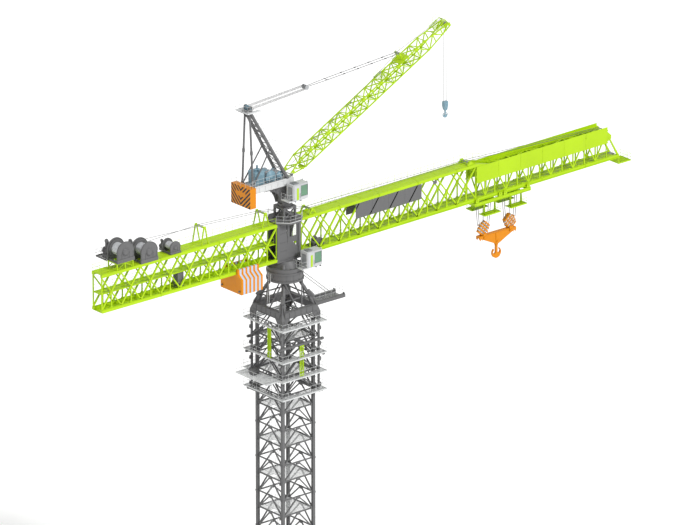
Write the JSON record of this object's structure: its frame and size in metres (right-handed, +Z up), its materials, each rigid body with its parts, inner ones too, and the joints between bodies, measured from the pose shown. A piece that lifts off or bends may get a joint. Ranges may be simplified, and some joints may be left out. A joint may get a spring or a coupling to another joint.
{
  "type": "tower crane scale model 1:10",
  "caption": "Lattice tower crane with a horizontal jib, two-hook trolley, counter-jib with ballast and winches, and a small luffing crane on its head.",
  "frame": {"origin": "middle of the base frame's underside, on the mast's axis", "axes": "+Z up the mast, +X along the main jib towards its tip, +Y to the left of the jib seen from the mast"},
  "size_m": [9.2735, 0.834, 7.5646],
  "materials": {
    "lime_paint": "semi-gloss lime green paint",
    "dark_grey_paint": "satin dark grey paint",
    "light_grey_grating": "light grey gratings and plates",
    "orange_paint": "semi-gloss orange paint",
    "pale_grey_paint": "pale blue-grey paint",
    "blue_grey_machinery": "satin blue-grey paint",
    "cab_light_grey": "light grey paint",
    "tinted_glass": "green-tinted glass",
    "steel_rope": "greased steel wire rope",
    "drum_grey": "grey rope on a steel drum"
  },
  "bodies": {
    "mast": {"base_frame": "lime_paint", "mast_posts": "lime_paint", "mast_sides": "lime_paint", "mast_landings": "light_grey_grating", "climbing_posts": "lime_paint", "climbing_frame_sides": "lime_paint", "climbing_platforms": "light_grey_grating", "climbing_guide_beams": "dark_grey_paint", "jacking_cylinders": "lime_paint", "support_frame": "dark_grey_paint", "slewing_drum": "dark_grey_paint", "introduction_beams": "dark_grey_paint"},
    "slewing_part": {"turntable": "lime_paint", "head_column": "lime_paint", "head_deck_and_pedestal": "lime_paint", "jib_chords": "lime_paint", "jib_sides": "lime_paint", "jib_bracing": "lime_paint", "name_boards": "dark_grey_paint", "wind_plates": "lime_paint", "jib_tip": "lime_paint", "counter_jib_chords": "lime_paint", "counter_jib_sides": "lime_paint", "counter_jib_decks": "light_grey_grating", "electrical_cabinet": "dark_grey_paint", "ballast_orange": "orange_paint", "ballast_pale": "pale_grey_paint", "winch_frames": "lime_paint", "winch_motors": "dark_grey_paint", "rope_trestles": "lime_paint", "hoist_ropes": "steel_rope", "lower_cab_shell": "cab_light_grey", "lower_cab_glass": "tinted_glass", "lower_cab_carrier": "dark_grey_paint"},
    "outer_drum": {"outer_winch_drum": "drum_grey"},
    "inner_drum": {"inner_winch_drum": "drum_grey"},
    "small_drum": {"small_winch_drum": "drum_grey"},
    "trolley": {"trolley_frame": "lime_paint", "trolley_platforms": "light_grey_grating", "main_hoist_ropes": "steel_rope"},
    "main_block": {"hook_blocks": "orange_paint", "equalizer_beam": "orange_paint"},
    "main_hook": {"main_hook": "orange_paint"},
    "luffing_crane": {"luffer_frame": "dark_grey_paint", "luffer_deck": "light_grey_grating", "luffer_counterweight": "orange_paint", "luffer_machinery": "blue_grey_machinery", "a_frame": "dark_grey_paint", "upper_cab_shell": "cab_light_grey", "upper_cab_glass": "tinted_glass", "luffing_ropes": "steel_rope"},
    "luffing_jib": {"luffing_jib_sides": "lime_paint", "luffing_jib_cross_bracing": "lime_paint", "pendant_post": "lime_paint", "pendants": "steel_rope"},
    "aux_line": {"aux_tip_sheave": "drum_grey", "aux_hoist_ropes": "steel_rope"},
    "aux_block": {"aux_hook_block": "dark_grey_paint"},
    "aux_hook": {"aux_hook": "dark_grey_paint"}
  },
  "joints": [
    {"name": "slewing", "type": "hinge", "parent": "mast", "child": "slewing_part", "pos_m": [0, 0, 4.7], "axis": [0, 0, 1], "continuous": true},
    {"name": "trolley_travel", "type": "slide", "parent": "slewing_part", "child": "trolley", "axis": [-0.9999, 0, -0.0148], "range_m": [-1.595, 2.325]},
    {"name": "main_hoist", "type": "slide", "parent": "trolley", "child": "main_block", "axis": [0, 0, 1], "range_m": [-3.904, 0.12], "deforming": ["main_hoist_ropes"]},
    {"name": "main_hook_swivel", "type": "hinge", "parent": "main_block", "child": "main_hook", "pos_m": [3.725, 0, 4.16956], "axis": [0, 0, 1], "continuous": true},
    {"name": "luffing_crane_slewing", "type": "hinge", "parent": "slewing_part", "child": "luffing_crane", "pos_m": [0, 0, 5.6003], "axis": [0, 0, 1], "continuous": true},
    {"name": "luffing", "type": "hinge", "parent": "luffing_crane", "child": "luffing_jib", "pos_m": [0.038, 0, 6.0456], "axis": [0, -1, 0], "range_deg": [-13.3, 42], "deforming": ["luffing_ropes"]},
    {"name": "aux_line_plumb", "type": "hinge", "parent": "luffing_jib", "child": "aux_line", "pos_m": [2.8027, 0, 7.53424], "axis": [0, -1, 0], "range_deg": [-42, 13.3]},
    {"name": "aux_hoist", "type": "slide", "parent": "aux_line", "child": "aux_block", "axis": [0, 0, -1], "range_m": [-0.65, 0.65], "deforming": ["aux_hoist_ropes"]},
    {"name": "aux_hook_swivel", "type": "hinge", "parent": "aux_block", "child": "aux_hook", "pos_m": [2.8027, 0, 6.29924], "axis": [0, 0, 1], "continuous": true},
    {"name": "outer_winch_spin", "type": "hinge", "parent": "slewing_part", "child": "outer_drum", "pos_m": [-2.804, 0, 5.6303], "axis": [0, 1, 0], "continuous": true},
    {"name": "inner_winch_spin", "type": "hinge", "parent": "slewing_part", "child": "inner_drum", "pos_m": [-2.405, 0, 5.5353], "axis": [0, 1, 0], "continuous": true},
    {"name": "small_winch_spin", "type": "hinge", "parent": "slewing_part", "child": "small_drum", "pos_m": [-1.948, 0, 5.4803], "axis": [0, 1, 0], "continuous": true}
  ],
  "couplings": [
    {"joint": "aux_line_plumb", "follows": "luffing", "ratio": -1}
  ]
}
